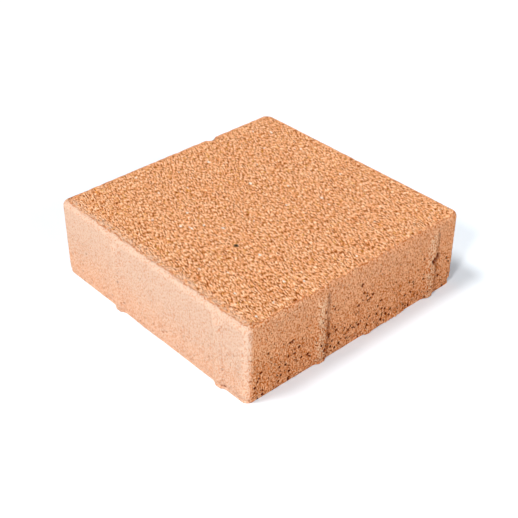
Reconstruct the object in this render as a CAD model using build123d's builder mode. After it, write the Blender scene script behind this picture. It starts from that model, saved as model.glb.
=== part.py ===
from build123d import *
import os

# Square concrete paving stone, one solid block, lying on its flat underside.
# Origin at the middle of the underside, +Z up to the walking face, sides square to X and Y.
# All sizes are in millimetres.

# Block
side = 197.0                # width and depth of the body, side to side, without the ribs
thickness = 60.0            # underside to walking face
corner_radius = 6.0         # upright corners
top_edge_radius = 3.6       # worn arris round the walking face
bottom_edge_bevel = 1.0     # small bevel round the underside

# Spacer ribs. They stand upright on all four sides and keep a joint open to the next stone.
# Seen from outside, each side has them at the same two offsets from its middle, positive to
# the right, so the ribs of two neighbouring stones pass each other instead of meeting.
sides = 4
rib_offsets = (-34.0, 72.0)
rib_proud = 2.0             # how far the crest stands out of the side
rib_foot_width = 14.0       # foot to foot, where the flanks run out into the side
rib_crest_width = 5.0       # nearly flat band along the crest
rib_crest_round = 0.1       # how much lower the crest band is at its edges than in its middle
rib_head_gap = 4.0          # bare height of the side above the rib
rib_run_in = 6.0            # height over which the head slopes out to the full crest
rib_root = 3.0              # depth of the rib's root inside the block

rib_head = thickness - rib_head_gap
rib_shoulder = rib_head - rib_run_in

# One rib on the -Y side, on the middle of that side, with the side's plane at y = 0.
with BuildPart() as rib:
    with BuildSketch(Plane.XY) as rib_plan:
        with BuildLine() as rib_outline:
            crest_curve = Spline(
                (-rib_foot_width / 2, 0),
                (-rib_crest_width / 2, rib_crest_round - rib_proud),
                (0, -rib_proud),
                (rib_crest_width / 2, rib_crest_round - rib_proud),
                (rib_foot_width / 2, 0),
                tangents=[(1, 0), (1, 0)],
            )
            Polyline(
                crest_curve @ 1,
                (rib_foot_width / 2, rib_root),
                (-rib_foot_width / 2, rib_root),
                crest_curve @ 0,
            )
        make_face()
    extrude(amount=rib_head)
    # The head slopes back into the side: the rib is cut to this upright profile.
    with BuildSketch(Plane.YZ) as rib_upright:
        with BuildLine() as upright_outline:
            foot_line = Polyline((rib_root, 0), (-rib_proud, 0), (-rib_proud, rib_shoulder))
            head_curve = Spline(
                foot_line @ 1,
                (0, rib_head),
                tangents=[(0, 1), (0, 1)],
            )
            Polyline(head_curve @ 1, (rib_root, rib_head), (rib_root, 0))
        make_face()
    extrude(amount=rib_foot_width, both=True, mode=Mode.INTERSECT)

with BuildPart() as paving_stone:
    with BuildSketch(Plane.XY) as block_plan:
        RectangleRounded(side, side, corner_radius)
    extrude(amount=thickness)
    fillet(paving_stone.faces().sort_by(Axis.Z)[-1].edges(), radius=top_edge_radius)
    with PolarLocations(0, sides):
        with Locations([(rib_offset, -side / 2, 0) for rib_offset in rib_offsets]):
            add(rib.part)
    chamfer(paving_stone.faces().sort_by(Axis.Z)[0].outer_wire().edges(), length=bottom_edge_bevel)

paving_stone.part.label = "paving_stone"

os.makedirs("parts", exist_ok=True)
export_step(paving_stone.part, "parts/paving_stone.step")
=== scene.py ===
import math

import bpy
import numpy as np
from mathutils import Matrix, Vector


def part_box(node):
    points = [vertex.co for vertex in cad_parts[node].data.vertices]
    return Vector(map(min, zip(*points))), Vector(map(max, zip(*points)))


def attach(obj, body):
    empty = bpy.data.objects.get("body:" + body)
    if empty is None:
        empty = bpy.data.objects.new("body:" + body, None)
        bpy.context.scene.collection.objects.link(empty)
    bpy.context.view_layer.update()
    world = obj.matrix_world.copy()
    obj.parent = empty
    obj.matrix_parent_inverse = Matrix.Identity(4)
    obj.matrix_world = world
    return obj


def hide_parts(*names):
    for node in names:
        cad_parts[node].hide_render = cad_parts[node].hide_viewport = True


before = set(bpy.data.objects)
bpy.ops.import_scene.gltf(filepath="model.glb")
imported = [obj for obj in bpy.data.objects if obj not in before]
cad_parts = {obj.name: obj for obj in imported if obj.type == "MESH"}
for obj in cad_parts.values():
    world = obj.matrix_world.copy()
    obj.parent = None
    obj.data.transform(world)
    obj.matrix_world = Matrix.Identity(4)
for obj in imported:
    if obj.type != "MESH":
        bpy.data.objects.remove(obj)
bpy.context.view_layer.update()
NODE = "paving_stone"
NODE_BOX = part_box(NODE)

bl_info = {
    "name": "Concrete paving stone",
    "version": (1, 0, 0),
    "blender": (4, 5, 0),
    "location": "3D View > Sidebar > Paving Stone",
    "description": "Builds a square concrete paver with a brushed walking face and pressed sides",
    "category": "Add Mesh",
}

MM = 0.001
STONE_HEIGHT = NODE_BOX[1].z - NODE_BOX[0].z
STONE_REACH = NODE_BOX[1].x
RIB_PROUD = 2.0 * MM
SIDE_FACE = STONE_REACH - RIB_PROUD


# Small helpers

def linear(hex_colour):
    """An sRGB hex colour as linear RGBA."""
    parts = [int(hex_colour[i:i + 2], 16) / 255 for i in (1, 3, 5)]
    return [c / 12.92 if c <= 0.04045 else ((c + 0.055) / 1.055) ** 2.4 for c in parts] + [1.0]


def add_node(tree, kind, settings=None, inputs=None):
    """Adds one node. settings are its properties; inputs maps a socket to a value or to the
    output of another node."""
    node = tree.nodes.new(kind)
    for name, value in (settings or {}).items():
        setattr(node, name, value)
    for socket, value in (inputs or {}).items():
        if isinstance(value, bpy.types.NodeSocket):
            tree.links.new(value, node.inputs[socket])
        else:
            node.inputs[socket].default_value = value
    return node


def object_from(name, mesh):
    """A new object at the origin that shows the mesh."""
    made = bpy.data.objects.new(name, mesh)
    bpy.context.scene.collection.objects.link(made)
    return made


def apply_modifiers(made, name):
    """Turns the object's modifiers into plain mesh, under a new name, and removes them."""
    depsgraph = bpy.context.evaluated_depsgraph_get()
    mesh = bpy.data.meshes.new_from_object(
        made.evaluated_get(depsgraph), preserve_all_data_layers=True, depsgraph=depsgraph
    )
    made.modifiers.clear()
    old = made.data
    made.data = mesh
    mesh.name = name
    bpy.data.meshes.remove(old)


class Fields:
    """Field arithmetic in a node tree, for geometry or a material: each call adds what it needs
    to the tree and returns the result as an output."""

    # Patterns are moved apart along this way, and all noises have this roughness.
    APART = (1.0, 0.7, 1.3)
    ROUGHNESS = 0.6

    def __init__(self, tree):
        self.tree = tree

    def math(self, operation, a, b=0.0, c=0.0):
        inputs = {0: a, 1: b, 2: c}
        return add_node(self.tree, "ShaderNodeMath", {"operation": operation}, inputs).outputs[0]

    def plus(self, *values):
        total = values[0]
        for value in values[1:]:
            total = self.math("ADD", total, value)
        return total

    def times(self, *values):
        total = values[0]
        for value in values[1:]:
            total = self.math("MULTIPLY", total, value)
        return total

    def less(self, a, b):
        return self.math("SUBTRACT", a, b)

    def size_of(self, value):
        return self.math("ABSOLUTE", value)

    def vector(self, operation, a, b):
        inputs = {0: a, 1: b}
        return add_node(self.tree, "ShaderNodeVectorMath", {"operation": operation}, inputs).outputs

    def stretched(self, place, factors):
        """The place times factors: a factor under 1 makes a pattern longer along that axis."""
        return self.vector("MULTIPLY", place, factors)[0]

    def split(self, vector):
        return add_node(self.tree, "ShaderNodeSeparateXYZ", None, {0: vector}).outputs

    def step(self, value, low, high, to_low=0.0, to_high=1.0):
        """A smooth step of value between low and high."""
        inputs = {
            "Value": value, "From Min": low, "From Max": high, "To Min": to_low, "To Max": to_high}
        settings = {"interpolation_type": "SMOOTHSTEP"}
        return add_node(self.tree, "ShaderNodeMapRange", settings, inputs).outputs[0]

    def between(self, amount, a, b):
        """a where amount is 0, and b where it is 1."""
        inputs = {0: amount, 2: a, 3: b}
        return add_node(self.tree, "ShaderNodeMix", {"data_type": "FLOAT"}, inputs).outputs[0]

    def distance_to(self, place, spot):
        """Distance in metres from a spot given in mm."""
        return self.vector("DISTANCE", place, tuple(c * MM for c in spot))["Value"]

    def moved(self, place, shift):
        return self.vector("ADD", place, tuple(shift * c for c in self.APART))[0]

    def noise(self, place, size, detail, shift):
        """Noise from 0 to 1, about 0.5 on average, whose features are about size metres wide."""
        inputs = {
            "Vector": self.moved(place, shift), "Scale": self.math("DIVIDE", 1.0, size),
            "Detail": detail, "Roughness": self.ROUGHNESS}
        return add_node(self.tree, "ShaderNodeTexNoise", None, inputs).outputs[0]

    def swing(self, place, size, detail, shift, spread, middle=0.0):
        """Noise that swings about middle, over a width of spread."""
        noise = self.noise(place, size, detail, shift)
        return self.math("MULTIPLY_ADD", noise, spread, middle - spread / 2)

    def grains(self, place, size, shift):
        """Packed grains about size metres wide: the distance from each grain's middle, in grain
        widths, three random tones a grain, and a tilt from about -0.5 to 0.5 that turns each
        grain's top its own way."""
        where = self.moved(place, shift)
        inputs = {"Vector": where, "Scale": self.math("DIVIDE", 1.0, size)}
        cell = add_node(self.tree, "ShaderNodeTexVoronoi", {"feature": "F1"}, inputs).outputs
        tones = self.split(cell["Color"])
        from_middle = self.vector("SUBTRACT", where, cell["Position"])[0]
        lean = self.vector("SUBTRACT", cell["Color"], (0.5, 0.5, 0.5))[0]
        tilt = self.math("DIVIDE", self.vector("DOT_PRODUCT", from_middle, lean)["Value"], size)
        return cell["Distance"], tones, tilt


def new_tree(name, input_names):
    """A geometry node group with a geometry input and output and named lengths as inputs."""
    tree = bpy.data.node_groups.new(name, "GeometryNodeTree")
    sockets = tree.interface
    sockets.new_socket("Geometry", in_out="INPUT", socket_type="NodeSocketGeometry")
    sockets.new_socket("Geometry", in_out="OUTPUT", socket_type="NodeSocketGeometry")
    for input_name in input_names:
        socket = sockets.new_socket(input_name, in_out="INPUT", socket_type="NodeSocketFloat")
        socket.subtype = "DISTANCE"
        socket.default_value = MM
    return tree


def run_tree(made, tree, values):
    """Puts the tree on the object as a modifier and sets its inputs by their identifiers."""
    modifier = made.modifiers.new(tree.name, "NODES")
    modifier.node_group = tree
    for item in tree.interface.items_tree:
        if item.item_type == "SOCKET" and item.in_out == "INPUT" and item.name in values:
            modifier[item.identifier] = values[item.name]


# What a user can change

class BrushedFaceSizes(bpy.types.PropertyGroup):
    """Relief of the brushed walking face, where the cement skin is brushed off the sand."""

    roll_over: bpy.props.FloatProperty(
        name="Roll-over",
        description="How far past the middle of the arris the brushed texture reaches",
        default=-1.3 * MM, unit="LENGTH")
    coarse_size: bpy.props.FloatProperty(
        name="Coarse grain size", description="Width of the coarser sand grains",
        default=1.3 * MM, unit="LENGTH")
    coarse_depth: bpy.props.FloatProperty(
        name="Coarse grain depth", description="How far the coarser grains stand apart in height",
        default=0.55 * MM, unit="LENGTH")
    fine_size: bpy.props.FloatProperty(
        name="Fine grain size", description="Width of the finer sand grains",
        default=1.0 * MM, unit="LENGTH")
    fine_depth: bpy.props.FloatProperty(
        name="Fine grain depth", description="How far the finer grains stand apart in height",
        default=0.3 * MM, unit="LENGTH")
    torn_spacing: bpy.props.FloatProperty(
        name="Torn pit spacing", description="Spacing of the places where a grain can be torn out",
        default=4.6 * MM, unit="LENGTH")
    torn_depth: bpy.props.FloatProperty(
        name="Torn pit depth", description="Depth of the pits that torn grains leave",
        default=0.9 * MM, unit="LENGTH")


class PressedSideSizes(bpy.types.PropertyGroup):
    """Relief of the sides, pressed against the steel mould and drawn out of it."""

    pore_spacing: bpy.props.FloatProperty(
        name="Pore spacing", description="Spacing of the larger air pores",
        default=3.6 * MM, unit="LENGTH")
    pore_depth: bpy.props.FloatProperty(
        name="Pore depth", description="Depth of the larger air pores",
        default=0.9 * MM, unit="LENGTH")
    pit_size: bpy.props.FloatProperty(
        name="Pit size", description="Width of the ragged pits between the pores",
        default=1.9 * MM, unit="LENGTH")
    pit_depth: bpy.props.FloatProperty(
        name="Pit depth", description="Depth of the ragged pits",
        default=0.5 * MM, unit="LENGTH")
    open_size: bpy.props.FloatProperty(
        name="Open texture size", description="Width of the grains of the open texture",
        default=1.9 * MM, unit="LENGTH")
    open_depth: bpy.props.FloatProperty(
        name="Open texture depth", description="Depth of the open texture low on the sides",
        default=0.75 * MM, unit="LENGTH")
    drag_depth: bpy.props.FloatProperty(
        name="Drag depth", description="Depth of the upright streaks from the mould",
        default=0.15 * MM, unit="LENGTH")
    arris_band: bpy.props.FloatProperty(
        name="Arris band", description="Height of the ragged band along the bottom arris",
        default=7.0 * MM, unit="LENGTH")
    arris_wander: bpy.props.FloatProperty(
        name="Arris wander", description="How far the bottom arris wanders in and out at random",
        default=0.8 * MM, unit="LENGTH")


class MeshSizes(bpy.types.PropertyGroup):
    """How finely the block is meshed."""

    skin_step: bpy.props.FloatProperty(
        name="Skin step", description="Edge length of the mesh that takes the relief",
        default=0.55 * MM, unit="LENGTH")
    triangle_limit: bpy.props.IntProperty(
        name="Triangle limit", description="Most triangles that the finished block may have",
        default=196000)


class StoneColours(bpy.types.PropertyGroup):
    """Colours of the dyed concrete, as sRGB hex."""

    face_mortar: bpy.props.StringProperty(
        name="Face mortar", description="Dyed mortar between the grains of the walking face",
        default="#DA8B50")
    # The light end of the face's tone ramp: partly the grains' own pale colours, partly painted
    # highlight on their lit sides.
    face_light: bpy.props.StringProperty(
        name="Face, light grains", description="Sand grains brushed nearly clean of dye",
        default="#F6B484")
    face_pale: bpy.props.StringProperty(
        name="Face, pale grains", description="Grains that hardly took the dye",
        default="#FFD6B0")
    face_ochre: bpy.props.StringProperty(
        name="Face, ochre grains", description="Iron-stained grains",
        default="#E8A94E")
    face_quartz: bpy.props.StringProperty(
        name="Face, quartz grains", description="Grey-white quartz grains",
        default="#F0E8DC")
    # Partly the mortar's own deep colour, partly painted shade in the hollows and on the grains'
    # shaded sides.
    face_deep_and_shade: bpy.props.StringProperty(
        name="Face, hollows", description="Deep-coloured hollows between the grains",
        default="#843604")
    face_black: bpy.props.StringProperty(
        name="Face, black grain", description="The one black grain",
        default="#2E2620")
    side_mortar: bpy.props.StringProperty(
        name="Side mortar", description="Dyed mortar pressed smooth on the sides",
        default="#FFBA8A")
    side_film: bpy.props.StringProperty(
        name="Side film", description="Pale film of fine cement on the sides",
        default="#E9C6AE")
    # Painted highlight on the ribs' crests and left flanks, and partly on the light specks of the
    # sides.
    side_highlight: bpy.props.StringProperty(
        name="Side, pale spots", description="Rib crests and spots rubbed pale by the mould",
        default="#FFD6B0")
    # Own colour of the specks and of the torn line along the brushed part; on the crumbs, partly
    # painted shade of their little pits.
    side_stain_and_shade: bpy.props.StringProperty(
        name="Side specks", description="Fine specks and torn crumbs where the film is thin",
        default="#D0702E")
    # Painted shade: the dark of the pores, pits and broken places, and of the line along each rib's
    # right foot.
    side_deep_shade: bpy.props.StringProperty(
        name="Side pores", description="Deep-coloured pores of the sides",
        default="#701E00")


class StudioSizes(bpy.types.PropertyGroup):
    """The studio: lamps and camera."""

    key_power: bpy.props.FloatProperty(
        name="Key", description="Strength of the light that grazes the right side, in W/m2",
        default=1.4)
    left_power: bpy.props.FloatProperty(
        name="Left light", description="Strength of the soft high light from the left, in W/m2",
        default=1.98)
    fill_power: bpy.props.FloatProperty(
        name="Fill", description="Strength of the soft light from the right, in W/m2",
        default=1.56)
    sky_level: bpy.props.FloatProperty(
        name="Sky", description="Level of the soft light from all round",
        default=0.19)
    azimuth: bpy.props.FloatProperty(
        name="Azimuth", description="Direction from which the camera looks, 0 along +Y",
        default=math.radians(48.04), subtype="ANGLE")
    elevation: bpy.props.FloatProperty(
        name="Elevation", description="Height of the camera above the horizon",
        default=math.radians(35.02), subtype="ANGLE")
    distance: bpy.props.FloatProperty(
        name="Distance", description="Camera to the middle of the stone",
        default=0.756, unit="LENGTH")
    lens: bpy.props.FloatProperty(
        name="Lens", description="Focal length in mm on a 36 mm sensor",
        default=74.12)
    across: bpy.props.FloatProperty(
        name="Across", description="How far the camera stands to the right",
        default=0.39 * MM, unit="LENGTH")
    lift: bpy.props.FloatProperty(
        name="Lift", description="How far the camera stands up",
        default=-12.55 * MM, unit="LENGTH")


# The named inputs of the relief, and the property that each one's value comes from. The height
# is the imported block's own.
RELIEF_SIZES = {
    "Height": None,
    "Roll-over": ("paver_face", "roll_over"),
    "Coarse grain size": ("paver_face", "coarse_size"),
    "Coarse grain depth": ("paver_face", "coarse_depth"),
    "Fine grain size": ("paver_face", "fine_size"),
    "Fine grain depth": ("paver_face", "fine_depth"),
    "Torn pit spacing": ("paver_face", "torn_spacing"),
    "Torn pit depth": ("paver_face", "torn_depth"),
    "Pore spacing": ("paver_side", "pore_spacing"),
    "Pore depth": ("paver_side", "pore_depth"),
    "Pit size": ("paver_side", "pit_size"),
    "Pit depth": ("paver_side", "pit_depth"),
    "Open grain size": ("paver_side", "open_size"),
    "Open texture depth": ("paver_side", "open_depth"),
    "Drag depth": ("paver_side", "drag_depth"),
    "Arris band": ("paver_side", "arris_band"),
    "Arris wander": ("paver_side", "arris_wander"),
}

# Places in the pattern space, so that each pattern is its own, in the relief and in the colours
# alike.
COARSE, FINE, TORN, PORE, PIT, SPECK = 0.113, 0.457, 0.771, 0.211, 0.421, 0.613
OPEN, CLOUD, DRAG, CRUMB, RAGGED, WANDER = 0.871, 0.502, 0.203, 0.317, 0.331, 0.059

# How each grain of the walking face leans, how far it sits up or down, and how deep the gaps
# round it are, as shares of the grains' depth. The open texture of the sides is a little calmer.
FACE_GRAINS = (1.3, 0.5, 0.5)
OPEN_GRAINS = (1.2, 0.45, 0.4)

# Widths of the patterns' features.
CLOUD_SIZE = 16 * MM            # patches of tighter and of more open concrete on the sides
UNEVEN_FACE_SIZE = 5 * MM       # ups and downs of the brushed face
BRUSH_LINE_SIZE = 5 * MM        # the line where the brush stopped
ARRIS_WANDER_SIZE = 7 * MM      # the bottom arris
RAGGED_RIM_SIZE = 1.6 * MM      # rims of pores and chips
RIB_MARK_SIZE = 3 * MM          # edges and breaks of the ribs' marks
DRAG_SIZE = 2.0 * MM            # mould streaks in the relief
DRAG_TINT_SIZE = 1.6 * MM       # mould streaks in the colour
FLECK_SIZE = 0.84 * MM          # dark and light flecks of the face, coarser than real to show
SPECK_SIZE = 0.95 * MM          # specks of the sides, coarser than real to show
CRUMB_SIZE = 1.3 * MM           # torn crumbs of the sides
ROUGH_SIZE = 1.7 * MM           # roughness of the sides, as bump
GAP_BREAK_SIZE = 3 * MM         # where the gaps round the face's grains open and close
TORN_FILM_SIZE = 2.5 * MM       # breaks of the torn line along the brushed face
KEPT_FILM_SIZE = 3 * MM         # patches of film kept on the front arris
DRAWN_OUT = (1.0, 1.0, 0.1)     # makes upright streaks of a pattern

# The brush went nearly along X, turned by this many degrees. It drew the grains out along its
# way. The fine flecks, partly painted highlight and shade, are drawn out more, as the streaks of
# light and shade across the face are.
BRUSH_TURN = 12.0
GRAINS_DRAWN, FLECKS_DRAWN = 0.62, 0.3

# The line where the brush stopped wanders over the first width. On the front it lies further in,
# by the second. The relief passes over in the third on each side of it, the colours in the fourth.
BRUSH_LINE_SPREAD = 9.0 * MM
FRONT_FILM_REACH = 2.6 * MM
RELIEF_BLEND = 1.6 * MM
COLOUR_BLEND = 0.4 * MM

# Soft bands, by the distance from the stone's middle, in which a side begins: for the wear of the
# bottom arris, for the front's smooth film, and for that film on the walking face in two ways.
SIDE_BAND = (90 * MM, 96 * MM)
FRONT_BAND = (91 * MM, 97 * MM)
FRONT_FACE_BAND = (84 * MM, 92 * MM)
KEPT_FILM_BAND = (86 * MM, 94 * MM)

# Wear of the bottom arris in mm, outwards positive, by the place along the side in mm, as seen in
# the photograph on its two sides. The ribs' feet are worn back with it.
ARRIS_FRONT = (
    (-98.5, -0.9), (-60, -0.8), (-50, -0.9), (-46, -1.5), (-42, -0.9), (-35.5, -0.7),
    (-30, -1.2), (-20, -0.9), (-14, -0.2), (7, -0.2), (15, -0.9), (38, -0.9), (43, -1.6),
    (48, -0.9), (60, -1.0), (66, -1.2), (71, -1.4), (75, -2.6), (79, -1.4), (83, -0.9),
    (87, -1.5), (90, -1.3), (94, -2.0), (98.5, -2.0))
ARRIS_RIGHT = (
    (-98.5, -1.8), (-90, -1.6), (-85, -0.5), (-43, -0.5), (-39, -1.5), (-34, -2.3),
    (-30, -1.7), (-26, -0.6), (-10, -0.5), (-6, -1.9), (-1, -2.8), (4, -1.7), (7, 0.5),
    (11, 1.4), (17, 1.0), (40, 0.9), (46, 0.4), (49, -1.6), (52, -1.9), (55, -0.6),
    (61, -0.5), (70, 0.0), (79, -0.5), (86, -0.8), (90, -1.6), (98.5, -1.8))
ARRIS_LOW, ARRIS_HIGH = -3.0, 2.0
ARRIS_ELSEWHERE = -0.7

# The ribs' places along each side in mm, seen from outside. From each one's middle, the middle of
# its painted highlight on the crest and left flank and of its painted shade along the right foot,
# in mm too, with the widths over which the two marks fade.
RIB_OFFSETS = (-34.0, 72.0)
RIB_HIGHLIGHT, HIGHLIGHT_FADE = -1.5, (1.0, 5.0)
RIB_FOOT_SHADE, FOOT_SHADE_FADE = 4.8, (0.6, 3.4)
RIB_MARK_WOBBLE = 4.0 * MM
RIB_MARK_HEAD = (STONE_HEIGHT - 9 * MM, STONE_HEIGHT - 5 * MM)

# Places in mm where a piece is broken off or a larger pore is open: middle, radius and depth. The
# first is on the far top edge, the others are along the ribs' feet and on the right side's wall.
CHIPS = (
    ((-97.5, 38.0, 60.0), 5.0, 2.2),
    ((100.2, 73.8, 30.5), 3.6, 2.0), ((98.8, 78.6, 31.0), 3.8, 1.9),
    ((99.8, -29.8, 25.5), 1.8, 1.4), ((99.3, -28.8, 20.5), 1.7, 1.3),
    ((100.3, -31.8, 41.0), 1.4, 1.0), ((100.3, -32.5, 10.0), 1.6, 1.0),
    ((98.5, 13.6, 31.0), 1.5, 1.2), ((98.5, -20.0, 18.4), 1.6, 1.2),
    ((98.5, -22.0, 37.0), 1.4, 1.0), ((98.5, 2.8, 43.7), 1.5, 1.0),
    ((98.5, 0.3, 28.5), 1.3, 1.0), ((98.5, -45.6, 12.9), 1.5, 1.0),
    ((98.5, -59.0, 31.0), 1.5, 1.0))
CHIP_CORE = 0.4                 # share of the radius that is at full depth

# The one black grain of the walking face: its middle and where it starts and ends to fade, in mm.
BLACK_GRAIN, BLACK_FADE = (26.7, -43.6, 60.0), (1.4, 2.1)

# What the tone of a spot on the walking face is made of, and the steps of the tone at which a
# colour passes into the next lighter one. The tone is partly the grains' and mortar's own colours
# and partly painted highlight and shade of the relief: the flecks stand for light and shade on the
# grains, and deeper spots and the gaps round the grains are painted darker as shade.
TONE_FLECK, TONE_GRAIN, TONE_FINE_GRAIN = 4.0, 0.3, 0.3
TONE_SHADE_PER_METRE_DEEP, TONE_GAP_SHADE, TONE_BASE = -150.0, -0.2, 0.36
TONE_STEPS = {"face_mortar": (-0.06, 0.34), "face_light": (0.24, 0.84), "face_pale": (0.74, 1.14)}

# The studio: each lamp's name, the property that holds its strength, how wide it is in degrees
# and the way it comes from; then the floor.
LAMPS = (
    ("key_light", "key_power", 9, (0.26, -0.75, 0.62)),
    ("left_light", "left_power", 16, (-0.19, -0.40, 0.90)),
    ("fill_light", "fill_power", 40, (0.95, 0.1, 0.3)),
)
WHITE = "#FFFFFF"
PAPER_COLOUR, PAPER_GLOW_COLOUR, PAPER_GLOW = "#EEF3F7", "#D4EAFF", 0.15
FLOOR_REACH = 3.0


# The relief, shared by the mesh and the colours

def arris_curve(f, along, points):
    """The wear of one side's bottom arris in metres, read from its points at the place along it."""
    reach = points[-1][0]
    span = ARRIS_HIGH - ARRIS_LOW
    place = f.math("MULTIPLY_ADD", along, 0.5 / (reach * MM), 0.5)
    node = add_node(f.tree, "ShaderNodeFloatCurve", None, {"Value": place})
    curve = node.mapping.curves[0]
    spots = [((x + reach) / (2 * reach), (y - ARRIS_LOW) / span) for x, y in points]
    curve.points[0].location, curve.points[1].location = spots[0], spots[-1]
    for spot in spots[1:-1]:
        curve.points.new(*spot)
    node.mapping.update()
    return f.math("MULTIPLY_ADD", node.outputs[0], span * MM, ARRIS_LOW * MM)


def broken_grains(f, place, size, shift, shares):
    """Depth of broken grains, 0 at the crests and about 1 in the gaps: each leans and sits its
    own way."""
    lean, spread, gap = shares
    distance, tones, tilt = f.grains(place, size, shift)
    gaps = f.step(distance, 0.3, 0.75)
    return f.plus(f.times(tilt, lean), f.times(tones[0], spread), f.times(gaps, gap))


def along_brush(f, place, drawn=GRAINS_DRAWN):
    """The place, turned to the brush's way and drawn together along it, so that patterns come
    out longer there."""
    inputs = {"Vector": place, "Angle": math.radians(BRUSH_TURN)}
    turned = add_node(f.tree, "ShaderNodeVectorRotate", {"rotation_type": "Z_AXIS"}, inputs)
    return f.stretched(turned.outputs[0], (drawn, 1.0, 1.0))


def towards_front(f, y, band, to_low=0.0, to_high=1.0):
    """A smooth step over a band near the front, which is the side towards -Y."""
    return f.step(f.math("MULTIPLY", y, -1.0), *band, to_low, to_high)


def face_relief(f, place, size):
    """Depth of the brushed face below its crests in metres: the coarse part and the fine one."""
    place = along_brush(f, place)
    grains = broken_grains(f, place, size["Coarse grain size"], COARSE, FACE_GRAINS)
    uneven = f.swing(place, UNEVEN_FACE_SIZE, 3, CRUMB, 1.6 * MM, 0.05 * MM)
    distance, tones, _ = f.grains(place, size["Torn pit spacing"], TORN)
    torn_reach = f.step(tones[0], 0.45, 1.0, 0.0, 0.5)
    torn = f.step(f.less(torn_reach, distance), 0.0, 0.25)
    coarse = f.plus(f.times(grains, size["Coarse grain depth"]), uneven,
                    f.times(torn, size["Torn pit depth"]))
    fine_grains = broken_grains(f, place, size["Fine grain size"], FINE, FACE_GRAINS)
    return coarse, f.times(fine_grains, size["Fine grain depth"])


def side_relief(f, place, size):
    """Depth of the pressed sides in metres, with where the pores and the pits are, from 0 to 1.
    The sides are more open lower down, and the front is smoother than the others."""
    _, y, z = f.split(place)
    low = f.step(f.math("DIVIDE", z, size["Height"]), 0.15, 0.95, 1.0, 0.0)
    cloud = f.noise(place, CLOUD_SIZE, 3, CLOUD)
    open_side = towards_front(f, y, FRONT_BAND, 1.0, 0.25)

    distance, tones, _ = f.grains(place, size["Pore spacing"], PORE)
    share = f.plus(tones[0], f.times(low, 0.35), f.times(cloud, 0.5))
    rim = f.swing(place, RAGGED_RIM_SIZE, 2, RAGGED, 0.3)
    pore_reach = f.plus(f.step(share, 1.1, 1.5, 0.0, 0.3), rim)
    pore = f.times(f.step(f.less(pore_reach, distance), -0.03, 0.09), open_side)

    pit_noise = f.noise(place, size["Pit size"], 2, PIT)
    pit_share = f.plus(pit_noise, f.times(low, 0.05), f.times(cloud, 0.12))
    pit = f.times(f.step(pit_share, 0.745, 0.80), open_side)

    openness = f.step(f.plus(f.times(low, 0.8), f.times(cloud, 0.8)), 0.3, 1.1, 0.3, 1.0)
    open_grains = broken_grains(f, place, size["Open grain size"], OPEN, OPEN_GRAINS)
    drag = f.noise(f.stretched(place, DRAWN_OUT), DRAG_SIZE, 3, DRAG)
    depth = f.plus(
        f.times(pore, size["Pore depth"]),
        f.times(pit, size["Pit depth"]),
        f.times(open_grains, openness, open_side, size["Open texture depth"]),
        f.times(drag, size["Drag depth"]))
    return pore, pit, depth


def chips(f, place):
    """Depth in metres of the broken places, and how far inside one a point is, from 0 to 1."""
    rim = f.swing(place, RAGGED_RIM_SIZE, 2, RAGGED, 3.0 * MM, -0.2 * MM)
    depth, inside_any = 0.0, 0.0
    for spot, radius, chip_depth in CHIPS:
        away = f.plus(f.distance_to(place, spot), rim)
        inside = f.step(away, CHIP_CORE * radius * MM, radius * MM, 1.0, 0.0)
        depth = f.plus(depth, f.times(inside, chip_depth * MM))
        inside_any = f.math("MAXIMUM", inside_any, inside)
    return depth, inside_any


def brush_reach(f, place, size):
    """How far inside the line where the brush stopped a point is, in metres. The line lies on the
    arris, and further in on the front."""
    x, y, z = f.split(place)
    ragged = f.swing(place, BRUSH_LINE_SIZE, 4, RAGGED, BRUSH_LINE_SPREAD)
    widest = f.math("MAXIMUM", f.size_of(x), f.size_of(y))
    inward = f.math("MAXIMUM", f.less(SIDE_FACE, widest), 0.0)
    front_film = towards_front(f, y, FRONT_FACE_BAND, 0.0, FRONT_FILM_REACH)
    below_top = f.less(size["Height"], z)
    return f.less(f.plus(size["Roll-over"], ragged, inward), f.plus(front_film, below_top))


def arris_wear(f, place, facing, size):
    """How far the bottom arris is squeezed out, or broken away where negative, in metres."""
    x, y, z = f.split(place)
    near_bottom = f.step(f.math("DIVIDE", z, size["Arris band"]), 0.0, 1.0, 1.0, 0.0)
    wander = f.swing(place, ARRIS_WANDER_SIZE, 4, WANDER, 2.0)
    front = towards_front(f, y, SIDE_BAND)
    right = f.step(x, *SIDE_BAND)
    elsewhere = f.less(1.0, f.math("MAXIMUM", front, right))
    wear = f.plus(
        f.times(front, f.less(1.0, f.times(right, 0.5)), arris_curve(f, x, ARRIS_FRONT)),
        f.times(right, f.less(1.0, f.times(front, 0.5)), arris_curve(f, y, ARRIS_RIGHT)),
        f.times(elsewhere, ARRIS_ELSEWHERE * MM),
        f.times(wander, size["Arris wander"]))
    off_underside = f.step(facing[2], -0.9, -0.5)
    return f.times(wear, near_bottom, off_underside)


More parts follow.
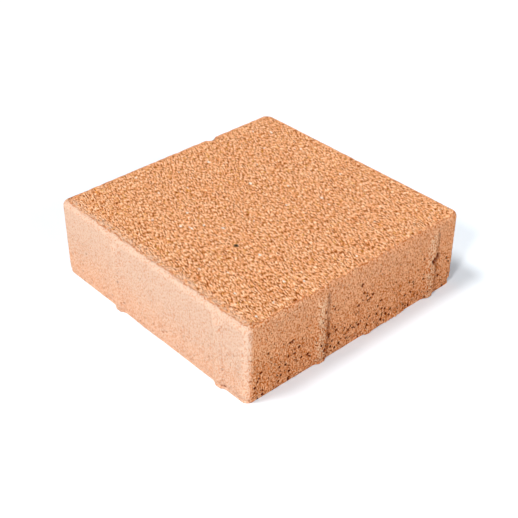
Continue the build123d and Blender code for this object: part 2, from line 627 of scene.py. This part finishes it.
def relief_tree(material):
    """Geometry nodes that press the relief of a brushed, pressed and worn concrete block into its
    skin. They keep each point's place before that, and its reach inside the brushed part, for the
    material."""
    tree = new_tree("concrete_relief", RELIEF_SIZES)
    f = Fields(tree)
    given = add_node(tree, "NodeGroupInput").outputs
    place = add_node(tree, "GeometryNodeInputPosition").outputs[0]
    normal = add_node(tree, "GeometryNodeInputNormal").outputs[0]
    facing = f.split(normal)

    reach = brush_reach(f, place, given)
    reached = f.step(reach, -RELIEF_BLEND, RELIEF_BLEND)
    face_depth = f.plus(*face_relief(f, place, given))
    upright = f.step(f.size_of(facing[2]), 0.55, 0.85, 1.0, 0.0)
    side_depth = f.less(f.times(upright, side_relief(f, place, given)[2]),
                        arris_wear(f, place, facing, given))
    depth = f.plus(f.between(reached, side_depth, face_depth), chips(f, place)[0])

    skin = given["Geometry"]
    for name, kind, value in (("rest_place", "FLOAT_VECTOR", place), ("brushed", "FLOAT", reach)):
        settings = {"data_type": kind, "domain": "POINT"}
        inputs = {"Geometry": skin, "Name": name, "Value": value}
        skin = add_node(tree, "GeometryNodeStoreNamedAttribute", settings, inputs).outputs[0]
    push = add_node(tree, "ShaderNodeVectorMath", {"operation": "SCALE"},
                    {0: normal, "Scale": f.math("MULTIPLY", depth, -1.0)}).outputs[0]
    moved = add_node(tree, "GeometryNodeSetPosition", None, {"Geometry": skin, "Offset": push})
    real = add_node(tree, "GeometryNodeRealizeInstances", None, {"Geometry": moved.outputs[0]})
    finished = add_node(tree, "GeometryNodeSetMaterial", None,
                        {"Geometry": real.outputs[0], "Material": material})
    add_node(tree, "NodeGroupOutput", None, {"Geometry": finished.outputs[0]})
    return tree


# Materials

def rib_highlight_and_shade(f, place):
    """Two marks of each rib: a painted highlight on its crest and left flank, and a painted shade
    in a ragged dark line along its right foot, broken here and there."""
    x, y, z = f.split(place)
    on_x = f.math("GREATER_THAN", f.size_of(x), f.size_of(y))
    along_x_side = f.times(f.math("SIGN", x), y)
    along_y_side = f.times(f.math("SIGN", y), x, -1.0)
    along = f.plus(f.times(on_x, along_x_side), f.times(f.less(1.0, on_x), along_y_side))
    along = f.plus(along, f.swing(place, RIB_MARK_SIZE, 4, WANDER, RIB_MARK_WOBBLE))
    broken = f.step(f.noise(place, RIB_MARK_SIZE, 3, TORN), 0.36, 0.6, 0.3, 1.0)
    below_head = f.step(z, *RIB_MARK_HEAD, 1.0, 0.0)
    flank_highlight, line = 0.0, 0.0
    # Painted highlight over each rib's crest and left flank, painted shade along its right foot.
    for offset in RIB_OFFSETS:
        off = f.less(along, offset * MM)
        band = f.size_of(f.less(off, RIB_HIGHLIGHT * MM))
        foot = f.size_of(f.less(off, RIB_FOOT_SHADE * MM))
        flank_highlight_here = f.step(band, *(c * MM for c in HIGHLIGHT_FADE), 1.0, 0.0)
        foot_shade_here = f.step(foot, *(c * MM for c in FOOT_SHADE_FADE), 1.0, 0.0)
        flank_highlight = f.math("MAXIMUM", flank_highlight, flank_highlight_here)
        line = f.math("MAXIMUM", line, foot_shade_here)
    return f.times(flank_highlight, below_head), f.times(line, broken, below_head)


def blend(tree, amount, a, b):
    """Colour a where amount is 0, and b where it is 1. A colour is an output or sRGB hex."""
    a, b = (linear(colour) if isinstance(colour, str) else colour for colour in (a, b))
    inputs = {0: amount, 6: a, 7: b}
    return add_node(tree, "ShaderNodeMix", {"data_type": "RGBA"}, inputs).outputs[2]


def layered(tree, base, layers):
    """The base colour with layers over it, each an amount and a colour."""
    for amount, colour in layers:
        base = blend(tree, amount, base, colour)
    return base


def walking_face(f, rest, size, colours):
    """Colour and bump of the brushed face: crests brushed paler and gaps deep in colour, partly as
    the grains' and mortar's own colours and partly as painted highlight on the crests and painted
    shade in the gaps and hollows, and a few grains of another kind."""
    coarse, fine = face_relief(f, rest, size)
    drawn = along_brush(f, rest)
    _, tones, _ = f.grains(drawn, size["Coarse grain size"], COARSE)
    _, fine_tones, _ = f.grains(drawn, size["Fine grain size"], FINE)
    fleck = f.noise(along_brush(f, rest, FLECKS_DRAWN), FLECK_SIZE, 1, CRUMB)
    # Painted shade in the gaps round the coarse grains, where they open.
    edge = add_node(f.tree, "ShaderNodeTexVoronoi", {"feature": "DISTANCE_TO_EDGE"}, {
        "Vector": f.moved(drawn, COARSE), "Scale": 1 / size["Coarse grain size"]})
    gap = f.times(f.step(edge.outputs["Distance"], 0.0, 0.12, 1.0, 0.0),
                  f.step(f.noise(rest, GAP_BREAK_SIZE, 3, DRAG), 0.4, 0.6))
    # Light and dark flecks, grain tones, and darker deeper spots and gaps: partly own colour,
    # partly painted highlight and shade.
    tone = f.plus(
        f.times(f.less(fleck, 0.5), TONE_FLECK),
        f.times(tones[1], TONE_GRAIN),
        f.times(fine_tones[1], TONE_FINE_GRAIN),
        f.times(f.plus(coarse, fine), TONE_SHADE_PER_METRE_DEEP),
        f.times(gap, TONE_GAP_SHADE),
        TONE_BASE)
    layers = [(f.step(tone, *step), getattr(colours, name)) for name, step in TONE_STEPS.items()]
    ochre = f.step(tones[2], 0.97, 0.975, 0.0, 0.4)
    quartz = f.step(tones[0], 0.9965, 0.9975, 0.0, 0.9)
    black = f.step(f.distance_to(rest, BLACK_GRAIN), *(c * MM for c in BLACK_FADE), 0.95, 0.0)
    layers += [(ochre, colours.face_ochre), (quartz, colours.face_quartz),
               (black, colours.face_black)]
    bump = f.plus(f.times(fine, -0.5), f.times(coarse, -0.3), f.times(fleck, 1.1 * MM))
    return layered(f.tree, colours.face_deep_and_shade, layers), bump


def pressed_side(f, rest, size, colours):
    """Colour and bump of the sides: a pale film of fine cement, mottled, and the front made paler
    all over, specks, torn crumbs, pits and pores, the ribs' marks and the broken places. The crumbs
    are darker partly as painted shade, the pits, pores and broken places as painted shade, the
    light specks partly as painted highlight, and each rib has a painted highlight on its crest and
    left flank and a painted shade along its right foot."""
    x, y, z = f.split(rest)
    pore, pit, side_depth = side_relief(f, rest, size)
    low = f.step(z, 0.1 * STONE_HEIGHT, 0.9 * STONE_HEIGHT, 1.0, 0.0)
    cloud = f.noise(rest, CLOUD_SIZE, 3, CLOUD)
    drag = f.noise(f.stretched(rest, DRAWN_OUT), DRAG_TINT_SIZE, 3, DRAG)
    front = towards_front(f, y, FRONT_BAND)
    # Paler all over on the front, faintly more so towards its right end, mottled by the cloud and
    # the streaks, and less pale low down.
    film = f.plus(f.times(front, 0.8), f.times(front, x, 0.7), f.times(cloud, 0.35),
                  f.times(drag, 0.3), f.times(low, -0.3), -0.12)
    speck = f.noise(f.stretched(rest, (1.0, 1.0, 0.65)), SPECK_SIZE, 1, SPECK)
    stain = f.step(f.plus(speck, f.times(low, 0.03)), 0.5, 0.64)
    # Light specks: partly a paler tone at random, partly painted highlight on the sides' relief.
    bright = f.step(speck, 0.24, 0.44, 1.0, 0.0)
    crumb_noise = f.noise(f.stretched(rest, (1.0, 1.0, 0.75)), CRUMB_SIZE, 1, RAGGED)
    crumbs = f.step(f.plus(crumb_noise, f.times(low, 0.07), f.times(cloud, 0.15)), 0.67, 0.76)
    off_front = f.less(1.0, f.times(front, 0.9))
    plain = f.less(1.0, f.times(front, 0.6))
    flank_highlight, foot_shade = rib_highlight_and_shade(f, rest)
    line = f.times(foot_shade, off_front)
    film_colour = blend(f.tree, f.step(film, 0.0, 1.0), colours.side_mortar, colours.side_film)
    colour = layered(f.tree, film_colour, (
        # Painted highlight on each rib's crest and left flank.
        (f.times(flank_highlight, off_front, 0.7), colours.side_highlight),
        # Light specks, partly painted highlight.
        (f.times(bright, plain, 0.8), colours.side_highlight),
        (f.times(stain, plain), colours.side_stain_and_shade),
        # Crumbs, darker partly in their own colour, partly as painted shade of their little pits.
        (f.times(crumbs, plain, 0.8), colours.side_stain_and_shade),
        # Painted shade in the pits and pores.
        (pit, colours.side_deep_shade),
        (pore, colours.side_deep_shade),
        # Painted shade along each rib's right foot, broken here and there.
        (f.times(line, 0.5), colours.side_deep_shade),
        # Painted shade in the broken places.
        (chips(f, rest)[1], colours.side_deep_shade)))
    rough = f.plus(f.times(speck, -0.5), f.noise(rest, ROUGH_SIZE, 2, CRUMB))
    bump = f.plus(
        f.times(side_depth, -1.0),
        f.times(rough, f.less(1.0, f.times(front, 0.8)), 4.2 * MM),
        f.times(line, -0.6 * MM),
        f.times(crumbs, plain, -0.3 * MM))
    return colour, bump


def dyed_concrete(size, colours):
    """Dyed concrete, matt all over. Brushed, it shows angular sand with deep-coloured hollows,
    whose dark is partly painted shade, and pale crests, partly painted highlight. Pressed in the
    mould it is smoother, with pores painted dark as shade, paler on the front, and a thin torn
    line, broken here and there, along the brushed part."""
    material = bpy.data.materials.new("dyed_concrete_brushed_and_pressed")
    material.use_nodes = True
    tree = material.node_tree
    tree.nodes.clear()
    f = Fields(tree)
    rest = add_node(tree, "ShaderNodeAttribute", {"attribute_name": "rest_place"}).outputs["Vector"]
    reach = add_node(tree, "ShaderNodeAttribute", {"attribute_name": "brushed"}).outputs["Fac"]
    brushed = f.step(reach, -COLOUR_BLEND, COLOUR_BLEND)
    face, face_bump = walking_face(f, rest, size, colours)
    side, side_bump = pressed_side(f, rest, size, colours)

    just_inside = f.step(reach, 0.0, 2.6 * MM, 1.0, 0.0)
    kept_film = f.times(towards_front(f, f.split(rest)[1], KEPT_FILM_BAND),
                        f.step(f.noise(rest, KEPT_FILM_SIZE, 3, WANDER), 0.35, 0.6), 0.6)
    face = layered(tree, face, (
        (f.times(just_inside, 0.5), colours.side_mortar), (kept_film, colours.side_film)))
    from_line = f.size_of(f.plus(reach, 0.3 * MM))
    torn_line = f.times(f.step(from_line, 0.25 * MM, 1.0 * MM, 1.0, 0.0),
                        f.step(f.noise(rest, TORN_FILM_SIZE, 3, TORN), 0.42, 0.56), 0.75)
    colour = layered(tree, side, ((brushed, face), (torn_line, colours.side_stain_and_shade)))

    height = f.between(brushed, side_bump, face_bump)
    bump = add_node(tree, "ShaderNodeBump", None,
                    {"Strength": 1.0, "Distance": 1.0, "Height": height})
    shader = add_node(tree, "ShaderNodeBsdfPrincipled", None, {
        "Base Color": colour, "Roughness": 0.85, "IOR": 1.5, "Specular IOR Level": 0.0,
        "Normal": bump.outputs[0]})
    add_node(tree, "ShaderNodeOutputMaterial", None, {"Surface": shader.outputs[0]})
    return material


def seen_rays(tree):
    """1 for the rays that the floor and the background are seen by, in the camera, in gloss or
    through glass."""
    path = add_node(tree, "ShaderNodeLightPath").outputs
    f = Fields(tree)
    return f.math("MAXIMUM", path["Is Camera Ray"],
                  f.math("MAXIMUM", path["Is Glossy Ray"], path["Is Transmission Ray"]))


def white_paper():
    """Matt white paper, which keeps the stone's soft shadow. A little glow, for the rays that it
    is seen by, lets it show as white and its shadow as a cool grey."""
    material = bpy.data.materials.new("white_paper_floor")
    material.use_nodes = True
    tree = material.node_tree
    tree.nodes.clear()
    matt = add_node(tree, "ShaderNodeBsdfDiffuse", None, {"Color": linear(PAPER_COLOUR)})
    glow = add_node(tree, "ShaderNodeEmission", None,
                    {"Color": linear(PAPER_GLOW_COLOUR), "Strength": PAPER_GLOW})
    both = add_node(tree, "ShaderNodeAddShader", None, {0: matt.outputs[0], 1: glow.outputs[0]})
    mixed = add_node(tree, "ShaderNodeMixShader", None, {
        0: seen_rays(tree), 1: matt.outputs[0], 2: both.outputs[0]})
    add_node(tree, "ShaderNodeOutputMaterial", None, {"Surface": mixed.outputs[0]})
    return material


# The stone and the studio

def keep_in_box(mesh):
    """Moves what stands out of the block's own box back onto it."""
    spots = np.empty(len(mesh.vertices) * 3, dtype=np.float32)
    mesh.vertices.foreach_get("co", spots)
    low = (-STONE_REACH, -STONE_REACH, 0.0)
    high = (STONE_REACH, STONE_REACH, STONE_HEIGHT)
    spots = np.clip(spots.reshape(-1, 3), low, high).astype(np.float32)
    mesh.vertices.foreach_set("co", spots.ravel())
    mesh.update()


class PAVER_OT_stone(bpy.types.Operator):
    """Builds the block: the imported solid's own shape with the relief of its face and sides"""

    bl_idname = "paver.stone"
    bl_label = "Build the Stone"

    def execute(self, context):
        scene = context.scene
        mesh_sizes = scene.paver_mesh
        stone = object_from("stone_block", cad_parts[NODE].data.copy())
        weld = stone.modifiers.new("weld", "WELD")
        weld.merge_threshold = 0.01 * MM
        remesh = stone.modifiers.new("even_skin", "REMESH")
        remesh.mode = "VOXEL"
        remesh.voxel_size = mesh_sizes.skin_step
        remesh.use_smooth_shade = True
        sizes = {name: getattr(getattr(scene, source[0]), source[1]) if source else STONE_HEIGHT
                 for name, source in RELIEF_SIZES.items()}
        material = dyed_concrete(sizes, scene.paver_colours)
        run_tree(stone, relief_tree(material), sizes)
        apply_modifiers(stone, "stone_skin")

        triangles = sum(len(polygon.vertices) - 2 for polygon in stone.data.polygons)
        if triangles > mesh_sizes.triangle_limit:
            thin = stone.modifiers.new("thin", "DECIMATE")
            thin.ratio = mesh_sizes.triangle_limit / triangles
            apply_modifiers(stone, "stone_block")
        keep_in_box(stone.data)
        stone.data.materials.clear()
        stone.data.materials.append(material)
        for polygon in stone.data.polygons:
            polygon.material_index = 0
            polygon.use_smooth = True
        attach(stone, "root")
        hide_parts(NODE)
        return {"FINISHED"}


class PAVER_OT_studio(bpy.types.Operator):
    """Sets up the white floor, the soft light and the camera"""

    bl_idname = "paver.studio"
    bl_label = "Set up the Studio"

    def execute(self, context):
        scene = context.scene
        scene.view_settings.view_transform = "Standard"
        self.lay_floor()
        self.light(scene)
        self.place_camera(scene)
        return {"FINISHED"}

    def lay_floor(self):
        reach = FLOOR_REACH
        mesh = bpy.data.meshes.new("floor")
        corners = [(-reach, -reach, 0), (reach, -reach, 0), (reach, reach, 0), (-reach, reach, 0)]
        mesh.from_pydata(corners, [], [(0, 1, 2, 3)])
        floor = object_from("floor", mesh)
        floor.data.materials.append(white_paper())

    def light(self, scene):
        studio = scene.paver_studio
        world = bpy.data.worlds.new("studio_light")
        scene.world = world
        world.use_nodes = True
        tree = world.node_tree
        tree.nodes.clear()
        level = add_node(tree, "ShaderNodeMapRange", None, {
            "Value": seen_rays(tree), "To Min": studio.sky_level, "To Max": 1.0}).outputs[0]
        glow = add_node(tree, "ShaderNodeBackground", None,
                        {"Color": linear(WHITE), "Strength": level})
        add_node(tree, "ShaderNodeOutputWorld", None, {"Surface": glow.outputs[0]})

        for name, power, width, light_from in LAMPS:
            light = bpy.data.lights.new(name, "SUN")
            light.energy = getattr(studio, power)
            light.angle = math.radians(width)
            lamp = bpy.data.objects.new(name, light)
            scene.collection.objects.link(lamp)
            lamp.location = light_from
            lamp.rotation_mode = "QUATERNION"
            lamp.rotation_quaternion = (-Vector(light_from)).to_track_quat("-Z", "Y")

    def place_camera(self, scene):
        studio = scene.paver_studio
        flat = math.cos(studio.elevation)
        back = Vector((math.sin(studio.azimuth) * flat, -math.cos(studio.azimuth) * flat,
                       math.sin(studio.elevation)))
        right = (-back).cross(Vector((0, 0, 1))).normalized()
        up = right.cross(-back)
        middle = Vector((0, 0, STONE_HEIGHT / 2))
        data = bpy.data.cameras.new("camera")
        data.lens = studio.lens
        camera = bpy.data.objects.new("camera", data)
        scene.collection.objects.link(camera)
        camera.location = (
            middle + back * studio.distance + right * studio.across + up * studio.lift)
        camera.rotation_mode = "QUATERNION"
        camera.rotation_quaternion = (-back).to_track_quat("-Z", "Y")
        scene.camera = camera


class PAVER_PT_panel(bpy.types.Panel):
    """Lists what builds the paving stone."""

    bl_label = "Paving Stone"
    bl_idname = "PAVER_PT_panel"
    bl_space_type = "VIEW_3D"
    bl_region_type = "UI"
    bl_category = "Paving Stone"

    def draw(self, context):
        layout = self.layout
        for group in PROPERTIES:
            values = getattr(context.scene, group)
            for name in values.bl_rna.properties.keys():
                if name not in ("rna_type", "name"):
                    layout.prop(values, name)
        for operator in OPERATORS:
            layout.operator(operator.bl_idname)


PROPERTIES = {
    "paver_face": BrushedFaceSizes,
    "paver_side": PressedSideSizes,
    "paver_mesh": MeshSizes,
    "paver_colours": StoneColours,
    "paver_studio": StudioSizes,
}
OPERATORS = (PAVER_OT_stone, PAVER_OT_studio)
CLASSES = (*PROPERTIES.values(), *OPERATORS, PAVER_PT_panel)


def register():
    for part in CLASSES:
        bpy.utils.register_class(part)
    for name, group in PROPERTIES.items():
        setattr(bpy.types.Scene, name, bpy.props.PointerProperty(type=group))


def unregister():
    for name in PROPERTIES:
        delattr(bpy.types.Scene, name)
    for part in reversed(CLASSES):
        bpy.utils.unregister_class(part)


def main():
    register()
    bpy.ops.paver.stone()
    bpy.ops.paver.studio()


if __name__ == "__main__":
    main()
